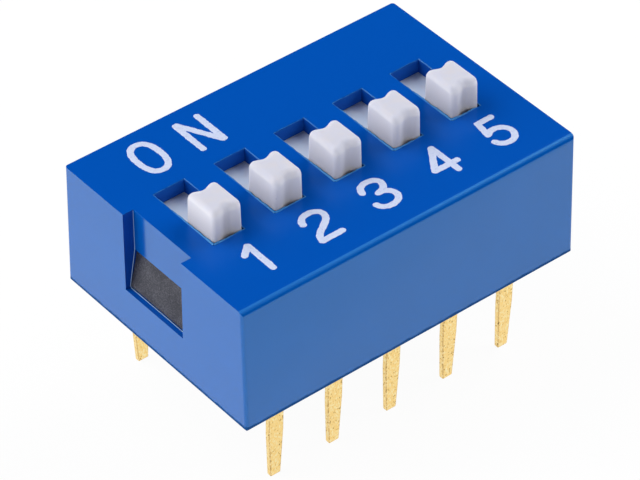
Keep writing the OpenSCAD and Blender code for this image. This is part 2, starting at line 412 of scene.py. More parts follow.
@dataclass(frozen=True)
class CoverMoulding(GlossMoulding):
    """Glossy moulding, satin on top, with a painted highlight on its top edges; dull, with painted shade, at
    its foot, in its slots and on the notch's sides.
    """

    upper: Colour = (0.0, 0.073, 0.41)
    upper_roughness: float = 0.28
    upper_refraction: float = 1.36
    upper_tint: Colour = (0.05, 0.6, 0.9)
    upper_band: Band = (0.62, 0.97)
    # Painted highlight: a paler blue on the rounding of the top edges, in place of the light that they catch.
    edge: Colour = (0.014, 0.138, 0.505)
    highlight_lower_band: Band = (0.6, 0.85)
    highlight_upper_band: Band = (0.998, 0.965)
    dull_roughness: float = 0.6
    dull_specular: float = 0.1
    # Painted shade: a darker, dull band along the foot, up to a ragged height, in place of the shade under the
    # bottom edge.
    foot: Colour = (0.002, 0.06, 0.22)
    foot_h: float = 0.17
    foot_blur: float = 0.015
    ragged: Noise = Noise(0.35, 2.0)
    ragged_h: float = 0.13
    # Painted shade in the slots: their walls are darker than the cover, and those that face the front are
    # painted lighter, as painted light.
    slot_wall_shade: Colour = (0.0, 0.052, 0.31)
    front_wall_light: Colour = (0.006, 0.105, 0.50)
    front_wall_light_band: Band = (-0.6, -0.9)
    core_half_l: float = 6.2
    core_half_w: float = 1.9
    core_top_z: float = 5.035
    # Painted shade: the notch's side walls are darker than the cover.
    notch_side_shade: Colour = (0.0, 0.038, 0.27)
    notch_side_shade_band: Band = (0.6, 0.9)
    notch_x: float = 6.6
    notch_half_w: float = 1.7

    def dull_parts(self, graph: ShaderGraph) -> tuple[Signal, Signal]:
        """The dull parts, which carry painted shade: a band along the foot, the slots' walls and the sides of
        the notch.

        Args:
            graph: The material's node tree.

        Returns:
            The share of the dull surface, and its colour: painted shade, with painted light on the slots' walls
            that face the front.
        """
        x, y, z = (graph.coordinate(axis) for axis in range(3))
        inside = z.below(self.core_top_z)
        slots = x.absolute().below(self.core_half_l) * y.absolute().below(self.core_half_w) * inside
        notch = x.below(-self.notch_x) * y.absolute().below(self.notch_half_w) * inside
        # Painted shade on the notch's side walls, found by their facing.
        notch = notch * graph.facing(1).absolute().smooth(*self.notch_side_shade_band)
        # Painted shade on the slots' walls, with painted light on the walls that face the front.
        walls = graph.mix(graph.facing(1).smooth(*self.front_wall_light_band), self.slot_wall_shade, self.front_wall_light)
        colour = graph.mix(notch, graph.mix(slots, self.foot, walls), self.notch_side_shade)
        # Painted shade along the foot: below a ragged line the darker dull colour takes over.
        line = self.foot_h + (graph.noise(self.ragged) - 0.5) * self.ragged_h
        foot_shade_share = (z - line).smooth(self.foot_blur, -self.foot_blur)
        return (slots + notch + foot_shade_share).clamped(), colour

    def surface(self, graph: ShaderGraph) -> Signal:
        """The gloss, the satin top and the dull parts.

        Args:
            graph: The material's node tree.

        Returns:
            The blended shader.
        """
        level = graph.facing(2)
        # Painted highlight: the rounding between the sides and the top takes the paler edge colour.
        edge = level.smooth(*self.highlight_lower_band) * level.smooth(*self.highlight_upper_band)
        glossy = self.sockets(graph)
        glossy["Base Color"] = graph.mix(edge, glossy["Base Color"], self.edge)
        satin = {
            "Base Color": graph.mix(edge, self.upper, self.edge),
            "Roughness": self.upper_roughness,
            "IOR": self.upper_refraction,
            "Specular Tint": self.upper_tint,
        }
        skin = graph.blend(level.smooth(*self.upper_band), graph.principled(glossy), graph.principled(satin))
        share, colour = self.dull_parts(graph)
        dull = {
            "Base Color": colour,
            "Roughness": self.dull_roughness,
            "Specular IOR Level": self.dull_specular,
        }
        return graph.blend(share, skin, graph.principled(dull))


@dataclass(frozen=True)
class MattMoulding(Finish):
    """Glass-filled black thermoplastic, with the grain of a spark-eroded mould."""

    colour: Colour = (0.004, 0.005, 0.016)
    fibre: Colour = (0.085, 0.088, 0.112)
    fibre_band: Band = (0.4, 0.68)
    roughness: float = 0.42
    grain: Noise = Noise(0.045, 4.0, 0.65)
    grain_colour: float = 0.8
    grain_roughness: float = 0.2
    grain_depth: float = 0.004
    cloud: Noise = Noise(0.6, 2.0)
    cloud_colour: float = 0.2

    def sockets(self, graph: ShaderGraph) -> Sockets:
        """Grain in colour, gloss and normal alike.

        Args:
            graph: The material's node tree.

        Returns:
            The Principled shader's sockets.
        """
        grain = graph.noise(self.grain)
        uneven = grain * self.grain_colour + graph.noise(self.cloud) * self.cloud_colour
        return {
            "Base Color": graph.mix(uneven.smooth(*self.fibre_band), self.colour, self.fibre),
            "Roughness": self.roughness + grain * self.grain_roughness,
            "Normal": graph.bump(grain, self.grain_depth),
        }


@dataclass(frozen=True)
class MilkMoulding(Finish):
    """White thermoplastic that light enters a little way, with faint warm clouds, a few dark specks, and
    painted light and shade.
    """

    colour: Colour = (0.575, 0.585, 0.68)
    warm: Colour = (0.61, 0.59, 0.635)
    # Painted light and shade: the sides are lighter than the top, and darker towards the foot, below high_z.
    side: Colour = (0.685, 0.68, 0.725)
    side_foot_shade: Colour = (0.50, 0.485, 0.51)
    low_z: float = 4.95
    high_z: float = 6.15
    level_band: Band = (0.1, 0.9)
    roughness: float = 0.6
    refraction: float = 1.38
    sheen: float = 0.2
    sheen_roughness: float = 0.25
    sheen_tint: Colour = (0.8, 0.9, 1.0)
    scatter: float = 0.6
    scatter_tint: Colour = (0.85, 0.92, 1.0)
    scatter_depth: float = 0.35
    cloud: Noise = Noise(0.45)
    cloud_band: Band = (0.4, 0.7)
    cloud_colour: float = 0.6
    grain: Noise = Noise(0.06)
    grain_colour: float = 0.2
    grain_roughness: float = 0.12
    grain_depth: float = 0.0016
    speck: Colour = (0.16, 0.14, 0.16)
    specks: Specks = Specks(0.34, 0.07, 0.05)

    def sockets(self, graph: ShaderGraph) -> Sockets:
        """Clouds, specks and painted light and shade in the colour, with light scattered below the surface:
        sides lighter than the top, darker towards the foot.

        Args:
            graph: The material's node tree.

        Returns:
            The Principled shader's sockets.
        """
        cloud = graph.noise(self.cloud).smooth(*self.cloud_band)
        grain = graph.noise(self.grain)
        upper = graph.mix(cloud * self.cloud_colour + grain * self.grain_colour, self.colour, self.warm)
        # Painted shade towards the foot, and painted light on the sides, which are lighter than the top.
        risen = ((graph.coordinate(2) - self.low_z) / (self.high_z - self.low_z)).clamped()
        side = graph.mix(risen, self.side_foot_shade, self.side)
        clean = graph.mix(graph.facing(2).smooth(*self.level_band), side, upper)
        return {
            "Base Color": graph.mix(graph.specks(self.specks), clean, self.speck),
            "Roughness": self.roughness + grain * self.grain_roughness,
            "IOR": self.refraction,
            "Sheen Weight": self.sheen,
            "Sheen Roughness": self.sheen_roughness,
            "Sheen Tint": self.sheen_tint,
            "Subsurface Weight": self.scatter,
            "Subsurface Radius": self.scatter_tint,
            "Subsurface Scale": self.scatter_depth * MM,
            "Normal": graph.bump(grain, self.grain_depth),
        }


@dataclass(frozen=True)
class PlatedStrip(Finish):
    """Plated strip metal with the pitted, speckled skin of a rolled and stamped terminal."""

    colour: Colour = (0.98, 0.70, 0.26)
    pale: Colour = (1.0, 0.88, 0.50)
    pale_band: Band = (0.48, 0.68)
    pit: Colour = (0.32, 0.185, 0.05)
    pit_band: Band = (0.435, 0.345)
    roughness: float = 0.3
    fine: Noise = Noise(0.07, 3.0, 0.6, stretch=(1.0, 1.0, 1.6))
    fine_pits: float = 0.75
    fine_roughness: float = 0.16
    fine_depth: float = 0.006
    coarse: Noise = Noise(0.16, 2.0)
    coarse_pits: float = 0.25

    def sockets(self, graph: ShaderGraph) -> Sockets:
        """Pale and brown flecks in the colour, and the same pits in gloss and normal.

        Args:
            graph: The material's node tree.

        Returns:
            The Principled shader's sockets.
        """
        fine = graph.noise(self.fine)
        body = graph.mix(fine.smooth(*self.pale_band), self.colour, self.pale)
        uneven = fine * self.fine_pits + graph.noise(self.coarse) * self.coarse_pits
        return {
            "Base Color": graph.mix(uneven.smooth(*self.pit_band), body, self.pit),
            "Metallic": 1.0,
            "Roughness": self.roughness + fine * self.fine_roughness,
            "Normal": graph.bump(fine, self.fine_depth),
        }


@dataclass(frozen=True)
class PrintInk(Finish):
    """Pad-printed ink, thin in places, with pinholes where the plastic below shows through."""

    colour: Colour = (0.55, 0.61, 0.80)
    below: Colour = (0.06, 0.16, 0.52)
    roughness: float = 0.42
    film: Noise = Noise(0.07, 3.0, 0.6)
    film_full: float = 0.46
    film_contrast: float = 1.6
    film_roughness: float = 0.2
    film_depth: float = 0.003
    pinholes: Specks = Specks(0.11, 0.22, 0.07)
    pinhole_depth: float = 0.7

    def sockets(self, graph: ShaderGraph) -> Sockets:
        """Uneven cover and pinholes in the colour, with a dull, grained skin.

        Args:
            graph: The material's node tree.

        Returns:
            The Principled shader's sockets.
        """
        film = graph.noise(self.film)
        thin = ((self.film_full - film) * self.film_contrast).clamped()
        bare = thin + graph.specks(self.pinholes) * self.pinhole_depth
        return {
            "Base Color": graph.mix(bare, self.colour, self.below),
            "Roughness": self.roughness + film * self.film_roughness,
            "Normal": graph.bump(film, self.film_depth),
        }


BLUE = CoverMoulding("blue_moulding")
# A bead of burr, paler than the cover: its colour is a painted highlight on the slots' mouths.
BURR_HIGHLIGHT = GlossMoulding("blue_burr_highlight", colour=(0.0, 0.13, 0.46), streak=(0.04, 0.21, 0.55), roughness=0.55)
# A thread of flash, paler than the cover: its colour is a painted highlight line.
FLASH_HIGHLIGHT = GlossMoulding("blue_flash_highlight", colour=(0.12, 0.20, 0.43), streak=(0.26, 0.36, 0.58))
BLACK = MattMoulding("black_moulding")
WHITE = MilkMoulding("white_moulding")
# The plates are the knobs' white plastic, painted bluer and lighter: painted light from the slots' blue walls.
PLATE_PAINTED_LIGHT = MilkMoulding(
    "white_plate_painted_light", colour=(0.61, 0.71, 0.87), warm=(0.65, 0.69, 0.81), side=(0.64, 0.69, 0.82)
)
GOLD = PlatedStrip("gold_strip")
WORN = PlatedStrip(
    "worn_edge", colour=(0.72, 0.49, 0.19), pale=(1.0, 0.82, 0.45), pit=(0.10, 0.06, 0.02), roughness=0.4
)
SPRING = PlatedStrip(
    "spring_strip", colour=(0.72, 0.44, 0.20), pale=(0.86, 0.62, 0.36), pit=(0.36, 0.18, 0.08), roughness=0.24
)
INK = PrintInk("white_ink")


# Forms ----------------------------------------


def linked(name: str, data: bpy.types.ID) -> bpy.types.Object:
    """A new object in the scene.

    Args:
        name: The object's name.
        data: Its mesh, light or camera.

    Returns:
        The object, at the origin.
    """
    made = bpy.data.objects.new(name, data)
    bpy.context.scene.collection.objects.link(made)
    return made


class Form:
    """A mesh being worked on, in millimetres."""

    def __init__(self, name: str, mesh: bpy.types.Mesh) -> None:
        """Links an object for the mesh, so that its modifiers can be evaluated."""
        mesh.name = name
        self.object = linked(name, mesh)

    @classmethod
    def of_node(cls, name: str, node: str) -> Form:
        """A merged copy of a CAD node, whose flat sides are single faces.

        Args:
            name: The new piece's name.
            node: The CAD node that it refines.

        Returns:
            The copy, in millimetres.
        """
        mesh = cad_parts[node].data.copy()
        mesh.materials.clear()
        mesh.transform(Matrix.Scale(1 / MM, 4))
        form = cls(name, mesh)
        with form.editing() as work:
            bmesh.ops.remove_doubles(work, verts=work.verts, dist=MERGE_DISTANCE)
            bmesh.ops.dissolve_limit(
                work,
                angle_limit=math.radians(FLAT_ANGLE),
                verts=work.verts,
                edges=work.edges,
                delimit={"NORMAL"},
            )
        return form

    @classmethod
    def of_points(
        cls,
        name: str,
        points: Sequence[Point],
        edges: Sequence[tuple[int, int]] = (),
        faces: Sequence[tuple[int, ...]] = (),
    ) -> Form:
        """A form made from bare points.

        Args:
            name: The new piece's name.
            points: The points, in millimetres.
            edges: The pairs of points that loose edges join.
            faces: The points round each face.

        Returns:
            The form.
        """
        mesh = bpy.data.meshes.new(name)
        mesh.from_pydata(points, edges, faces)
        return cls(name, mesh)

    @classmethod
    def of_lines(cls, name: str, lines: Sequence[Sequence[Point]]) -> Form:
        """Open lines, for a node tree to turn into a solid.

        Args:
            name: The new piece's name.
            lines: The points of each line, in millimetres.

        Returns:
            The lines as one form.
        """
        edges, first = [], 0
        for line in lines:
            edges += [(first + k, first + k + 1) for k in range(len(line) - 1)]
            first += len(line)
        return cls.of_points(name, [point for line in lines for point in line], edges)

    @contextmanager
    def editing(self) -> Iterator[bmesh.types.BMesh]:
        """Opens the mesh for work on its parts, and closes it with every face turned outwards.

        Yields:
            The open mesh.
        """
        work = bmesh.new()
        work.from_mesh(self.object.data)
        yield work
        bmesh.ops.recalc_face_normals(work, faces=work.faces)
        work.to_mesh(self.object.data)
        work.free()

    def outward(self) -> None:
        """Merges doubles and turns every face outwards."""
        with self.editing() as work:
            bmesh.ops.remove_doubles(work, verts=work.verts, dist=MERGE_DISTANCE)

    def settle(self) -> None:
        """Turns the evaluated object into a plain mesh and takes its modifiers away."""
        scene = bpy.context.evaluated_depsgraph_get()
        scene.update()
        mesh = bpy.data.meshes.new_from_object(self.object.evaluated_get(scene), depsgraph=scene)
        self.object.modifiers.clear()
        old = self.object.data
        self.object.data = mesh
        bpy.data.meshes.remove(old)

    def solidify(self, thickness: float) -> None:
        """Gives a sheet its thickness, half to each side.

        Args:
            thickness: The whole thickness, in millimetres.
        """
        modifier = self.object.modifiers.new("thickness", "SOLIDIFY")
        modifier.thickness, modifier.offset, modifier.use_even_offset = thickness, 0.0, True
        self.settle()

    def bevel(
        self,
        width: float,
        segments: int = 3,
        sharp: float = 28.0,
        second: bool = False,
        chosen: Optional[Callable[[Vector, Vector], bool]] = None,
    ) -> None:
        """Rounds the edges that are sharper than an angle, or the ones that a rule chooses.

        Args:
            width: The bevel's width, in millimetres.
            segments: How many faces it has.
            sharp: The least angle of an edge that is rounded, in degrees.
            second: Whether the rounded edges take the form's second finish.
            chosen: A rule on an edge's two ends, used in place of the angle.
        """
        modifier = self.object.modifiers.new("edges", "BEVEL")
        modifier.width, modifier.segments = width, segments
        modifier.limit_method, modifier.angle_limit = "ANGLE", math.radians(sharp)
        modifier.miter_outer = "MITER_ARC"
        if chosen is not None:
            mesh = self.object.data
            ends = [[mesh.vertices[v].co for v in edge.vertices] for edge in mesh.edges]
            weights = mesh.attributes.new("bevel_weight_edge", "FLOAT", "EDGE")
            weights.data.foreach_set("value", [1.0 if chosen(a, b) else 0.0 for a, b in ends])
            modifier.limit_method = "WEIGHT"
        if second:
            modifier.material = 1
        self.settle()
        self.shade()

    def shade(self) -> None:
        """Shades the form smooth, with normals that follow the larger faces, so that flat sides look flat."""
        self.object.data.shade_smooth()
        modifier = self.object.modifiers.new("normals", "WEIGHTED_NORMAL")
        modifier.mode, modifier.weight, modifier.keep_sharp = "FACE_AREA", FACE_WEIGHT, False
        self.settle()

    def smooth(self) -> None:
        """Shades a round form smooth, but for its sharp edges."""
        self.object.data.shade_smooth()
        self.object.data.set_sharp_from_angle(angle=math.radians(ROUND_ANGLE))

    def finishes(self, *finishes: Finish) -> None:
        """Gives the form its finishes, and every face the first of them.

        Args:
            finishes: The finishes, in the order of the form's own material slots.
        """
        mesh = self.object.data
        mesh.materials.clear()
        for finish in finishes:
            mesh.materials.append(finish.material())
        mesh.polygons.foreach_set("material_index", [0] * len(mesh.polygons))

    def deliver(self, body: str, slot: Optional[FinishSlot], nodes: Sequence[str] = ()) -> None:
        """Scales the form into the frame and gives it to a body.

        Args:
            body: The CAD body that it rides on.
            slot: The record's material slot, if it has one there; not used.
            nodes: The CAD nodes that it stands for.
        """
        mesh = self.object.data
        mesh.transform(Matrix.Scale(MM, 4))
        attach(self.object, body)
        if nodes:
            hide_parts(*nodes)
        LOG.info("%s: %d faces on body %s", self.object.name, len(mesh.polygons), body)


class FormTree(Graph):
    """A Geometry Nodes tree with named inputs, run on a form."""

    def __init__(self, name: str, sizes: Mapping[str, Union[float, int]]) -> None:
        """Makes the tree and its named inputs.

        Args:
            name: The tree's name.
            sizes: Its inputs with their values. One with a whole number is a count.
        """
        super().__init__(bpy.data.node_groups.new(name, "GeometryNodeTree"))
        face = self.tree.interface
        face.new_socket("Geometry", in_out="INPUT", socket_type="NodeSocketGeometry")
        face.new_socket("Geometry", in_out="OUTPUT", socket_type="NodeSocketGeometry")
        self.values: dict[str, Union[float, int]] = {}
        for key, value in sizes.items():
            kind = "NodeSocketInt" if isinstance(value, int) else "NodeSocketFloat"
            self.values[face.new_socket(key, in_out="INPUT", socket_type=kind).identifier] = value
        self.entry = self.tree.nodes.new("NodeGroupInput")
        self.form = self.size("Geometry")

    def size(self, name: str) -> Signal:
        """The signal of a named input."""
        return Signal(self, self.entry.outputs[name])

    def place(self) -> tuple[Signal, ...]:
        """The three coordinates of the point that is worked on."""
        return self.split(self.add("GeometryNodeInputPosition"))

    def wobble(self, scale: float, detail: float) -> tuple[Signal, ...]:
        """Three uneven drifts with the place, each about 0 on average.

        Args:
            scale: How often a drift turns, per millimetre.
            detail: How many finer layers it has.

        Returns:
            The drift along each axis.
        """
        settings = {"noise_dimensions": "3D"}
        noise = self.add("ShaderNodeTexNoise", settings, {"Scale": scale, "Detail": detail}, out="Color")
        return tuple(part - 0.5 for part in self.split(noise))

    def moved(self, geometry: Signal, x: Term, y: Term, z: Term) -> Signal:
        """A geometry with its points at new places."""
        target = self.add("ShaderNodeCombineXYZ", None, {0: x, 1: y, 2: z})
        return self.add("GeometryNodeSetPosition", None, {"Geometry": geometry, "Position": target})

    def curve(self, spline: str = "POLY") -> Signal:
        """The form's lines as evenly divided curves, by the input Step.

        Args:
            spline: The type of curve that the lines become.

        Returns:
            The curves.
        """
        line = self.add("GeometryNodeMeshToCurve", None, {0: self.form})
        bent = self.add("GeometryNodeCurveSplineType", {"spline_type": spline}, {0: line})
        divided = {0: bent, "Length": self.size("Step")}
        return self.add("GeometryNodeResampleCurve", {"mode": "LENGTH"}, divided)

    def bead(self, curve: Signal, caps: bool = True, share: Term = 1.0) -> Signal:
        """A round bead along a curve, by the inputs Radius and Sides.

        Args:
            curve: The curve that it follows.
            caps: Whether its open ends are closed.
            share: Its size along the way, as a part of the radius.

        Returns:
            The bead.
        """
        circle = {"Resolution": self.size("Sides"), "Radius": self.size("Radius")}
        ring = self.add("GeometryNodeCurvePrimitiveCircle", None, circle)
        swept = {0: curve, 1: ring, "Scale": share, "Fill Caps": caps}
        return self.add("GeometryNodeCurveToMesh", None, swept)

    def join(self, *parts: Signal) -> Signal:
        """All the parts as one geometry.

        Args:
            parts: The geometries.

        Returns:
            The joined geometry.
        """
        joined = self.add("GeometryNodeJoinGeometry")
        for part in parts:
            self.tree.links.new(part.socket, joined.socket.node.inputs[0])
        return joined

    def rows(self, part: Signal, turns: Sequence[float] = (0.0,)) -> Signal:
        """Rows of a part with one at each position, by the inputs Positions and Pitch.

        Args:
            part: The geometry that is repeated.
            turns: For each row, the turn of its parts about the upright axis, in radians.

        Returns:
            All the rows as instances.
        """
        count, pitch = self.size("Positions"), self.size("Pitch")
        line = {
            "Count": count,
            "Start Location": self.add("ShaderNodeCombineXYZ", None, {0: (count - 1.0) * pitch * -0.5}),
            "Offset": self.add("ShaderNodeCombineXYZ", None, {0: pitch}),
        }
        places = self.add("GeometryNodeMeshLine", {"mode": "OFFSET", "count_mode": "TOTAL"}, line)
        copies = [{"Points": places, "Instance": part, "Rotation": (0.0, 0.0, turn)} for turn in turns]
        return self.join(*[self.add("GeometryNodeInstanceOnPoints", None, copy) for copy in copies])

    def run(self, form: Form, result: Signal, finish: Finish) -> None:
        """Ends the tree, runs it on a form and leaves the form as a plain, closed mesh.

        Args:
            form: The form that the tree starts from.
            result: The geometry that it makes.
            finish: The finish of that geometry.
        """
        real = self.add("GeometryNodeRealizeInstances", None, {0: result})
        painted = self.add("GeometryNodeSetMaterial", None, {"Geometry": real, "Material": finish.material()})
        self.add("NodeGroupOutput", None, {0: painted})
        modifier = form.object.modifiers.new(self.tree.name, "NODES")
        modifier.node_group = self.tree
        for identifier, value in self.values.items():
            modifier[identifier] = value
        form.settle()
        form.outward()


# The switch ----------------------------------------


@dataclass
class HousingPiece:
    """A piece that stands still, with its slot in the record and the CAD nodes that it stands for."""

    slot: ClassVar[Optional[FinishSlot]] = FinishSlot.BLUE
    nodes: ClassVar[tuple[str, ...]] = ()

    def build(self) -> Form:
        """The finished form."""
        raise NotImplementedError

    def dress(self) -> None:
        """Builds the piece and sets it on the housing."""
        self.build().deliver(HOUSING, self.slot, self.nodes)


@dataclass
class Cover(HousingPiece):
    """The blue moulded cover, with its edges broken as a mould breaks them."""

    nodes = ("cover",)
    edge: float = 0.03
    rim: float = 0.07
    rim_z: float = 5.03
    rim_x: float = 6.6
    rim_y: float = 4.6

    def on_rim(self, a: Vector, b: Vector) -> bool:
        """Whether an edge, by its two ends, is a long one on the outline of the top face."""
        outer = all(p.z > self.rim_z and (abs(p.x) > self.rim_x or p.y > self.rim_y) for p in (a, b))
        return outer and (a - b).length > 2 * self.rim

    def build(self) -> Form:
        """The cover, refined from its CAD node.

        Returns:
            The finished form.
        """
        form = Form.of_node("cover_moulding", self.nodes[0])
        form.bevel(self.rim, chosen=self.on_rim)
        form.bevel(self.edge)
        form.finishes(BLUE)
        return form


@dataclass
class MouthBurrHighlight(HousingPiece):
    """The fine bead of burr round the mouth of every slot, which grows towards its left front corner; its paler
    blue is a painted highlight.
    """

    half_w: float = 0.65
    front_y: float = -1.515
    rear_y: float = 1.755
    centre_z: float = 5.03
    bead_r: float = 0.045
    bead_step: float = 0.06
    bead_sides: int = 8
    share_x: float = 0.8
    lean_x: float = 0.6
    share_y: float = 0.65
    lean_y: float = 0.26
    ragged: float = 0.03
    ragged_rise: float = 3.0
    ragged_scale: float = 5.0
    ragged_detail: float = 2.0

    def path(self) -> list[Point]:
        """The ring of one mouth, in millimetres."""
        w, f, r, z = self.half_w, self.front_y, self.rear_y, self.centre_z
        return [(-w, f, z), (w, f, z), (w, r, z), (-w, r, z), (-w, f, z)]

    def build(self) -> Form:
        """The bead of one mouth, repeated at every slot and made uneven.

        Returns:
            The finished form.
        """
        form = Form.of_lines("mouth_burr_highlight", [self.path()])
        sizes = {
            "Radius": self.bead_r,
            "Sides": self.bead_sides,
            "Step": self.bead_step,
            "Share x": self.share_x,
            "Lean x": self.lean_x,
            "Share y": self.share_y,
            "Lean y": self.lean_y,
            "Pitch": PITCH,
            "Positions": POSITIONS,
            "Ragged": self.ragged,
            "Ragged rise": self.ragged_rise,
        }
        tree = FormTree("mouth_beads", sizes)
        along, back, _ = tree.place()
        share = tree.size("Share x") - along * tree.size("Lean x")
        share = share * (tree.size("Share y") - back * tree.size("Lean y"))
        beads = tree.rows(tree.bead(tree.curve(), share=share))
        solid = tree.add("GeometryNodeRealizeInstances", None, {0: beads})
        x, y, z = tree.place()
        drift = tree.wobble(self.ragged_scale, self.ragged_detail)[0] * tree.size("Ragged")
        uneven = tree.moved(solid, x + drift, y + drift, z + drift * tree.size("Ragged rise"))
        tree.run(form, uneven, BURR_HIGHLIGHT)
        form.smooth()
        return form


@dataclass
class Base(HousingPiece):
    """The black base with its snap wedges."""

    slot = FinishSlot.BLACK
    nodes = ("base",)
    edge: float = 0.025
    edge_faces: int = 2

    def build(self) -> Form:
        """The base, refined from its CAD node.

        Returns:
            The finished form.
        """
        form = Form.of_node("base_moulding", self.nodes[0])
        form.bevel(self.edge, self.edge_faces)
        form.finishes(BLACK)
        return form


@dataclass
class LatchSeamHighlight(HousingPiece):
    """The thin thread of flash in the end recess: down its corner, along the wedge and across its foot, in a
    pale colour that is a painted highlight line.
    """

    recess_x: float = 6.69
    recess_half_w: float = 1.56
    top_z: float = 5.0
    wedge_top_z: float = 3.33
    wedge_foot_x: float = 6.94
    ledge_z: float = 1.8
    thread_r: float = 0.016
    thread_step: float = 0.12
    thread_sides: int = 8

    def path(self) -> list[Point]:
        """The thread's path, in millimetres.

        Returns:
            The points from the top down.
        """
        return [
            (-self.recess_x, self.recess_half_w, self.top_z),
            (-self.recess_x, self.recess_half_w, self.wedge_top_z),
            (-self.wedge_foot_x, self.recess_half_w, self.ledge_z),
            (-self.wedge_foot_x, -self.recess_half_w, self.ledge_z),
        ]

    def build(self) -> Form:
        """The thread, swept along its path.

        Returns:
            The finished form.
        """
        form = Form.of_lines("latch_seam_highlight", [self.path()])
        sizes = {"Radius": self.thread_r, "Sides": self.thread_sides, "Step": self.thread_step}
        tree = FormTree("thread", sizes)
        tree.run(form, tree.bead(tree.curve()), FLASH_HIGHLIGHT)
        form.smooth()
        return form


# The centre line of every stroke but the ring of the O, in millimetres.
STROKES: dict[str, list[list[Spot]]] = {
    "N": [[(-2.99, 2.59), (-2.99, 4.11)], [(-2.94, 4.11), (-2.14, 2.60)], [(-2.09, 2.60), (-2.09, 4.09)]],
    "1": [[(-4.92, -3.60), (-4.91, -2.26)], [(-4.93, -2.25), (-5.29, -2.57)]],
    "2": [
        [
            (-2.86, -2.58), (-2.80, -2.40), (-2.64, -2.27), (-2.42, -2.22), (-2.18, -2.27), (-2.02, -2.41),
            (-1.99, -2.60), (-2.09, -2.80), (-2.32, -2.99), (-2.60, -3.17), (-2.80, -3.37), (-2.87, -3.58),
        ],
        [(-2.87, -3.59), (-2.03, -3.59)],
    ],
    "3": [
        [
            (-0.35, -2.56), (-0.27, -2.36), (-0.10, -2.24), (0.12, -2.21), (0.36, -2.27), (0.50, -2.45),
            (0.45, -2.68), (0.30, -2.82), (0.07, -2.88),
        ],
        [
            (0.07, -2.88), (0.32, -2.92), (0.49, -3.07), (0.53, -3.29), (0.42, -3.49), (0.16, -3.61),
            (-0.14, -3.57), (-0.31, -3.44), (-0.36, -3.30),
        ],
    ],
    "4": [[(2.93, -2.22), (2.94, -3.60)], [(2.91, -2.23), (2.26, -3.20)], [(2.26, -3.21), (3.21, -3.21)]],
    "5": [
        [(5.57, -2.21), (4.97, -2.22)],
        [(4.97, -2.22), (4.86, -2.86)],
        [
            (4.86, -2.88), (5.04, -2.78), (5.24, -2.76), (5.47, -2.84), (5.62, -3.01), (5.66, -3.22),
            (5.58, -3.44), (5.37, -3.58), (5.10, -3.58), (4.89, -3.46), (4.80, -3.30),
        ],
    ],
}  # fmt: skip


@dataclass
class Legend(HousingPiece):
    """The printed legend: ON at the top left, and a number in front of each slot."""

    slot = None
    top_z: float = 5.05
    stroke_r: float = 0.122
    stroke_step: float = 0.03
    stroke_sides: int = 16
    end_segments: int = 24
    end_rings: int = 10
    film: float = 0.014
    ragged: float = 0.072
    ragged_scale: float = 9.0
    ragged_detail: float = 3.0
    o_centre: Spot = (-4.66, 3.36)
    o_half_w: float = 0.465
    o_half_h: float = 0.785
    o_roundness: float = 0.84
    o_steps: int = 36

    def letter_o(self) -> list[Spot]:
        """The closed ring of the letter O, a little squarer than an ellipse.

        Returns:
            The ring's points, in millimetres.
        """
        ring = []
        for k in range(self.o_steps + 1):
            a = 2 * math.pi * k / self.o_steps
            across, up = (math.copysign(abs(v) ** self.o_roundness, v) for v in (math.cos(a), math.sin(a)))
            ring.append((self.o_centre[0] + self.o_half_w * across, self.o_centre[1] + self.o_half_h * up))
        return ring

    def lines(self) -> list[list[Point]]:
        """The centre line of every stroke, in millimetres."""
        flat = [self.letter_o(), *(line for letter in STROKES.values() for line in letter)]
        return [[(x, y, self.top_z) for x, y in line] for line in flat]

    def build(self) -> Form:
        """A rounded film of ink along every stroke, with uneven edges.

        Returns:
            The finished form.
        """
        form = Form.of_lines("printed_legend", self.lines())
        sizes = {
            "Radius": self.stroke_r,
            "Sides": self.stroke_sides,
            "Step": self.stroke_step,
            "Film": self.film,
            "Top": self.top_z,
            "Ragged": self.ragged,
        }
        tree = FormTree("ink_strokes", sizes)
        even = tree.curve("CATMULL_ROM")
        sphere = {"Segments": self.end_segments, "Rings": self.end_rings, "Radius": tree.size("Radius")}
        ball = tree.add("GeometryNodeMeshUVSphere", None, sphere)
        ends = tree.add("GeometryNodeCurveEndpointSelection", None, {"Start Size": 1, "End Size": 1})
        caps = {"Points": even, "Selection": ends, "Instance": ball}
        strokes = tree.join(tree.bead(even, caps=False), tree.add("GeometryNodeInstanceOnPoints", None, caps))
        solid = tree.add("GeometryNodeRealizeInstances", None, {0: strokes})
        x, y, z = tree.place()
        drifts = tree.wobble(self.ragged_scale, self.ragged_detail)
        right, back = (drift * tree.size("Ragged") for drift in drifts[:2])
        height = tree.size("Top") + (z - tree.size("Top")) * tree.size("Film") / tree.size("Radius")
        tree.run(form, tree.moved(solid, x + right, y + back, height), INK)
        form.smooth()
        return form


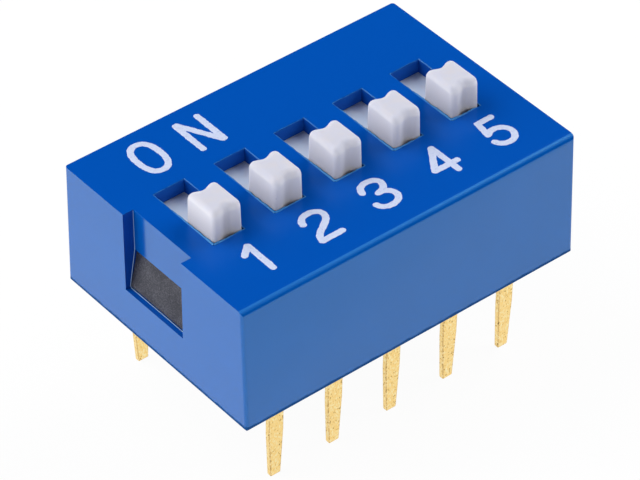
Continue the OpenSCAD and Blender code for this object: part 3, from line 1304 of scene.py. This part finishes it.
@dataclass
class Knob:
    """One finger knob: a rounded block with a groove down its front and its back."""

    length: float = 1.5
    width: float = 1.19
    top_z: float = 6.25
    foot_z: float = 4.42
    middle_y: float = -0.72
    corner_r: float = 0.2
    foot_corner_r: float = 0.13
    least_corner_r: float = 0.03
    side_r: float = 0.22
    end_r: float = 0.3
    groove_d: float = 0.12
    groove_half_w: float = 0.4
    groove_floor_half_w: float = 0.032
    groove_foot: float = 1.05
    mouth_z: float = 5.0
    fade_h: float = 0.6
    corner_steps: int = 10
    side_steps: int = 30
    round_steps: int = 14
    wall_steps: int = 8

    @staticmethod
    def drawn_in(radius: float, depth: float) -> float:
        """How far a top edge of a radius has drawn a side in, at a depth below the top."""
        return radius - math.sqrt(radius**2 - (radius - depth) ** 2) if depth < radius else 0.0

    def ring(self, depth: float) -> list[Point]:
        """One level of the block: a rectangle with round corners.

        Args:
            depth: Its depth below the top.

        Returns:
            The level's points, anticlockwise as seen from above.
        """
        side = self.drawn_in(self.side_r, depth)
        risen = min(max((self.top_z - depth - self.mouth_z) / (self.top_z - self.mouth_z), 0.0), 1.0)
        corner = self.foot_corner_r + (self.corner_r - self.foot_corner_r) * risen
        r = max(corner - side, self.least_corner_r)
        cx = self.width / 2 - side - r
        cy = self.length / 2 - self.drawn_in(self.end_r, depth) - r
        points: list[Spot] = []
        for turn, (sx, sy) in enumerate(((1, 1), (-1, 1), (-1, -1), (1, -1))):
            for k in range(self.corner_steps + 1):
                a = math.radians(90 * (turn + k / self.corner_steps))
                points.append((sx * cx + r * math.cos(a), sy * cy + r * math.sin(a)))
            if turn % 2 == 0:
                run = [1 - 2 * k / self.side_steps for k in range(1, self.side_steps)]
                points += [(sx * cx * u, sy * (cy + r)) for u in run]
        return [(x, y, self.top_z - depth) for x, y in points]

    def block(self, name: str) -> Form:
        """The block before its grooves are cut.

        Args:
            name: The form's name.

        Returns:
            A closed skin through all levels.
        """
        height = self.top_z - self.foot_z
        depths = [height - (height - self.end_r) * k / self.wall_steps for k in range(self.wall_steps)]
        turns = [math.pi / 2 * k / self.round_steps for k in range(self.round_steps + 1)]
        depths += [self.end_r * (1 - math.sin(turn)) for turn in turns]
        rings = [self.ring(depth) for depth in depths]
        n = len(rings[0])
        top = (len(rings) - 1) * n
        faces = [tuple(reversed(range(n)))]
        for j in range(0, top, n):
            faces += [(j + k, j + (k + 1) % n, j + n + (k + 1) % n, j + n + k) for k in range(n)]
        faces.append(tuple(range(top, top + n)))
        return Form.of_points(name, [point for ring in rings for point in ring], faces=faces)

    def build(self, name: str, x: float) -> Form:
        """The knob in its place, with its grooves.

        Args:
            name: The form's name.
            x: The middle of its slot along the row.

        Returns:
            The finished form.
        """
        form = self.block(name)
        sizes = {
            "Groove depth": self.groove_d,
            "Groove half width": self.groove_half_w,
            "Floor half width": self.groove_floor_half_w,
            "Share at foot": self.groove_foot,
            "Mouth": self.mouth_z,
            "Fade height": self.fade_h,
            "Place x": x,
            "Place y": self.middle_y,
        }
        tree = FormTree(f"{name}_grooves", sizes)
        px, py, pz = tree.place()
        inward = px.absolute().smooth(tree.size("Groove half width"), tree.size("Floor half width"))
        risen = ((pz - tree.size("Mouth")) / tree.size("Fade height")).clamped()
        share = tree.size("Share at foot") + (1.0 - tree.size("Share at foot")) * risen
        cut = inward * tree.size("Groove depth") * share
        y = py - py.sign() * cut + tree.size("Place y")
        tree.run(form, tree.moved(tree.form, px + tree.size("Place x"), y, pz), WHITE)
        form.shade()
        return form


@dataclass
class Sliders:
    """The five white actuators, each a plate with a knob on it and a carrier below, and their contacts."""

    plate_top_z: float = 4.47
    cut_clearance: float = 0.002
    edge: float = 0.02
    edge_faces: int = 2
    edge_sharp: float = 40.0
    knob: Knob = field(default_factory=Knob)

    def plate(self, node: str) -> Form:
        """The plate and the carrier below it, closed level with the plate's top.

        Args:
            node: The CAD node that they come from.

        Returns:
            The CAD node's copy, with its knob cut off.
        """
        form = Form.of_node(f"{node}_plate", node)
        with form.editing() as work:
            cut = bmesh.ops.bisect_plane(
                work,
                geom=[*work.verts, *work.edges, *work.faces],
                plane_co=(0.0, 0.0, self.plate_top_z - self.cut_clearance),
                plane_no=(0.0, 0.0, 1.0),
                clear_outer=True,
            )
            rim = [item for item in cut["geom_cut"] if isinstance(item, bmesh.types.BMEdge)]
            bmesh.ops.contextual_create(work, geom=rim)
        form.bevel(self.edge, self.edge_faces, self.edge_sharp)
        form.finishes(PLATE_PAINTED_LIGHT)
        return form

    def paint_contact(self, node: str) -> None:
        """Gives a moving contact, which stays as packed, its finish.

        Args:
            node: The contact's CAD node.
        """
        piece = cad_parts[node]
        piece.data.materials.clear()
        piece.data.materials.append(SPRING.material())
        LOG.info("%s: painted as packed", node)

    def dress(self) -> None:
        """Sets each plate and knob on its slider, and paints the contact below."""
        for i in range(1, POSITIONS + 1):
            node, body = f"actuator_{i}", f"slider_{i}"
            x = (i - (POSITIONS + 1) / 2) * PITCH
            self.plate(node).deliver(body, FinishSlot.WHITE, [node])
            self.knob.build(f"knob_{i}", x).deliver(body, FinishSlot.WHITE, [node])
            self.paint_contact(f"moving_contact_{i}")


@dataclass
class Terminals(HousingPiece):
    """The two rows of flat terminals, bent from strip and narrowed to their tips."""

    slot = FinishSlot.GOLD
    nodes = tuple(f"terminal_{row}_{i}" for row in ("front", "rear") for i in range(1, POSITIONS + 1))
    row_pitch: float = 7.62
    floor_z: float = 1.5
    strip_t: float = 0.2
    strip_w: float = 0.9
    strip_gap: float = 1.1
    tail_w: float = 0.62
    tip_w: float = 0.42
    taper_l: float = 2.0
    tail_l: float = 4.0
    tip_clearance: float = 0.004
    tail_lean: float = 0.12
    bend_r: float = 0.35
    edge: float = 0.03
    edge_faces: int = 2
    bend_steps: int = 9
    tail_steps: int = 16

    @property
    def slope_h(self) -> float:
        """The height over which the strip narrows to its tail."""
        return (self.strip_w - self.tail_w) / 2

    @property
    def shoulder_z(self) -> float:
        """The height from which the tail has its own width."""
        return self.floor_z - self.bend_r - self.slope_h

    def line(self) -> list[Point]:
        """The middle of one terminal of the rear row.

        Returns:
            The points from its inner end to its tip, in millimetres.
        """
        strip_z, leg_y = self.floor_z - self.strip_t / 2, self.row_pitch / 2
        r = self.bend_r - self.strip_t / 2
        points = [(0.0, self.strip_gap / 2, strip_z)]
        for k in range(self.bend_steps + 1):
            a = math.radians(90 - 90 * k / self.bend_steps)
            points.append((0.0, leg_y - r + r * math.cos(a), strip_z - r + r * math.sin(a)))
        points.append((0.0, leg_y, self.shoulder_z))
        for k in range(self.tail_steps + 1):
            u = k / self.tail_steps
            points.append((0.0, leg_y - self.tail_lean * u, -(self.tail_l - self.tip_clearance) * u))
        return points

    def build(self) -> Form:
        """The line widened into a strip, repeated along both rows and given its thickness.

        Returns:
            The finished form.
        """
        form = Form.of_lines("terminal_rows", [self.line()])
        sizes = {
            "Pitch": PITCH,
            "Positions": POSITIONS,
            "Strip width": self.strip_w,
            "Tail width": self.tail_w,
            "Tip width": self.tip_w,
            "Tail length": self.tail_l,
            "Taper length": self.taper_l,
            "Shoulder": self.shoulder_z,
            "Slope": self.slope_h,
        }
        tree = FormTree("terminal_rows", sizes)
        across = tree.add("ShaderNodeCombineXYZ", None, {0: 1.0})
        sheet = tree.add("GeometryNodeExtrudeMesh", {"mode": "EDGES"}, {"Mesh": tree.form, "Offset": across})
        x, y, z = tree.place()
        tip, tail, strip = (tree.size(f"{part} width") for part in ("Tip", "Tail", "Strip"))
        taper = ((z + tree.size("Tail length")) / tree.size("Taper length")).clamped()
        shoulder = ((z - tree.size("Shoulder")) / tree.size("Slope")).clamped()
        width = tip + (tail - tip) * taper + (strip - tail) * shoulder
        terminal = tree.moved(sheet, (x - 0.5) * width, y, z)
        tree.run(form, tree.rows(terminal, [side.value for side in RowSide]), GOLD)
        form.solidify(self.strip_t)
        form.outward()
        form.finishes(GOLD, WORN)
        form.bevel(self.edge, self.edge_faces, second=True)
        return form


# Studio ----------------------------------------


def direction(azimuth: float, elevation: float) -> Vector:
    """The way from the switch to a place around it.

    Args:
        azimuth: The turn from the number side towards the right, in degrees.
        elevation: The height above the horizon, in degrees.

    Returns:
        The way, with a length of 1.
    """
    a, e = math.radians(azimuth), math.radians(elevation)
    return Vector((math.sin(a) * math.cos(e), -math.cos(a) * math.cos(e), math.sin(e)))


@dataclass(frozen=True)
class Lamp:
    """A soft lamp: where it stands, its share of the light on a face turned to it, and its size in metres."""

    name: str
    azimuth: float
    elevation: float
    share: float
    size: float
    distance: float = 0.3

    def place(self) -> None:
        """Makes the lamp, facing the switch."""
        away = direction(self.azimuth, self.elevation)
        light = bpy.data.lights.new(self.name, "AREA")
        light.shape, light.size = "DISK", self.size
        light.energy = self.share * (math.pi * self.distance) ** 2
        lamp = linked(self.name, light)
        lamp.rotation_mode = "QUATERNION"
        lamp.rotation_quaternion = away.to_track_quat("Z", "Y")
        lamp.location = away * self.distance


@dataclass
class Studio:
    """A white floor under the terminals' tips, a room that gives no light and a few soft lamps."""

    floor_z: float = -4.0
    floor_half: float = 0.6
    floor_glow: float = 0.95
    floor_gloss: float = 0.9
    paper: Colour = (0.95, 0.95, 0.95)
    white: Colour = (1.0, 1.0, 1.0)
    lamps: tuple[Lamp, ...] = (
        Lamp("back_lamp", -165.0, 50.0, 0.22, 0.24),
        Lamp("back_left_lamp", -135.0, 36.0, 0.86, 0.34),
        Lamp("right_lamp", 86.0, 35.0, 0.98, 0.3),
        Lamp("left_lamp", -95.0, 12.0, 0.54, 0.4),
        Lamp("front_left_lamp", -40.0, 12.0, 0.21, 0.3),
        Lamp("front_lamp", -5.0, 12.0, 0.31, 0.24),
    )

    def floor_material(self) -> bpy.types.Material:
        """White paper that shows as white to the camera and in reflections, and keeps the soft shadow.

        Returns:
            The finished material.
        """
        graph = ShaderGraph("studio_floor")
        seen = graph.add("ShaderNodeLightPath", out="Is Camera Ray") * self.floor_glow
        mirrored = graph.add("ShaderNodeLightPath", out="Is Glossy Ray") * self.floor_gloss
        paper = graph.add("ShaderNodeBsdfDiffuse", None, {"Color": self.paper})
        glow = graph.add("ShaderNodeEmission", None, {"Color": self.white, "Strength": 1.0})
        return graph.close(graph.blend((seen + mirrored).clamped(), paper, glow))

    def build_floor(self) -> None:
        """Lays the floor."""
        h, z = self.floor_half, self.floor_z * MM
        mesh = bpy.data.meshes.new("floor")
        mesh.from_pydata([(-h, -h, z), (h, -h, z), (h, h, z), (-h, h, z)], [], [(0, 1, 2, 3)])
        mesh.materials.append(self.floor_material())
        linked("floor", mesh)

    def build_room(self) -> None:
        """Makes the room, which only the camera sees, as white."""
        world = bpy.data.worlds.new("room")
        world.use_nodes = True
        graph = Graph(world.node_tree)
        seen = graph.add("ShaderNodeLightPath", out="Is Camera Ray")
        light = graph.add("ShaderNodeBackground", None, {"Color": self.white, "Strength": seen})
        graph.add("ShaderNodeOutputWorld", None, {"Surface": light})
        bpy.context.scene.world = world

    def build(self) -> None:
        """Builds the studio."""
        self.build_floor()
        self.build_room()
        for lamp in self.lamps:
            lamp.place()
        bpy.context.scene.view_settings.view_transform = "Standard"


@dataclass
class Viewpoint:
    """The camera: what it looks at, from which side, how far off and with which lens."""

    target: Point = (-1.338, -1.567, 2.9)
    azimuth: float = -39.042
    elevation: float = 40.782
    roll: float = -0.101
    distance: float = 123.766
    lens: float = 208.826
    sensor: float = 36.0
    clip: Band = (0.001, 10.0)

    def build(self) -> None:
        """Makes the camera and hands it to the scene."""
        back = direction(self.azimuth, self.elevation)
        a, r = math.radians(self.azimuth), math.radians(self.roll)
        level = Vector((math.cos(a), math.sin(a), 0.0))
        upright = back.cross(level)
        right = level * math.cos(r) + upright * math.sin(r)
        up = upright * math.cos(r) - level * math.sin(r)
        data = bpy.data.cameras.new("camera")
        data.lens, data.sensor_width, data.sensor_fit = self.lens, self.sensor, "HORIZONTAL"
        data.clip_start, data.clip_end = self.clip
        camera = linked("camera", data)
        place = Matrix.Translation((Vector(self.target) + back * self.distance) * MM)
        camera.matrix_world = place @ Matrix((right, up, back)).transposed().to_4x4()
        bpy.context.scene.camera = camera


def main() -> None:
    """Builds the camera, the switch and the studio."""
    logging.basicConfig(level=logging.INFO, format="%(name)s: %(message)s")
    Viewpoint().build()
    for assembly in (Cover(), MouthBurrHighlight(), Base(), LatchSeamHighlight(), Legend(), Sliders(), Terminals()):
        assembly.dress()
        LOG.info("%s done", type(assembly).__name__)
    Studio().build()


if __name__ == "__main__":
    main()
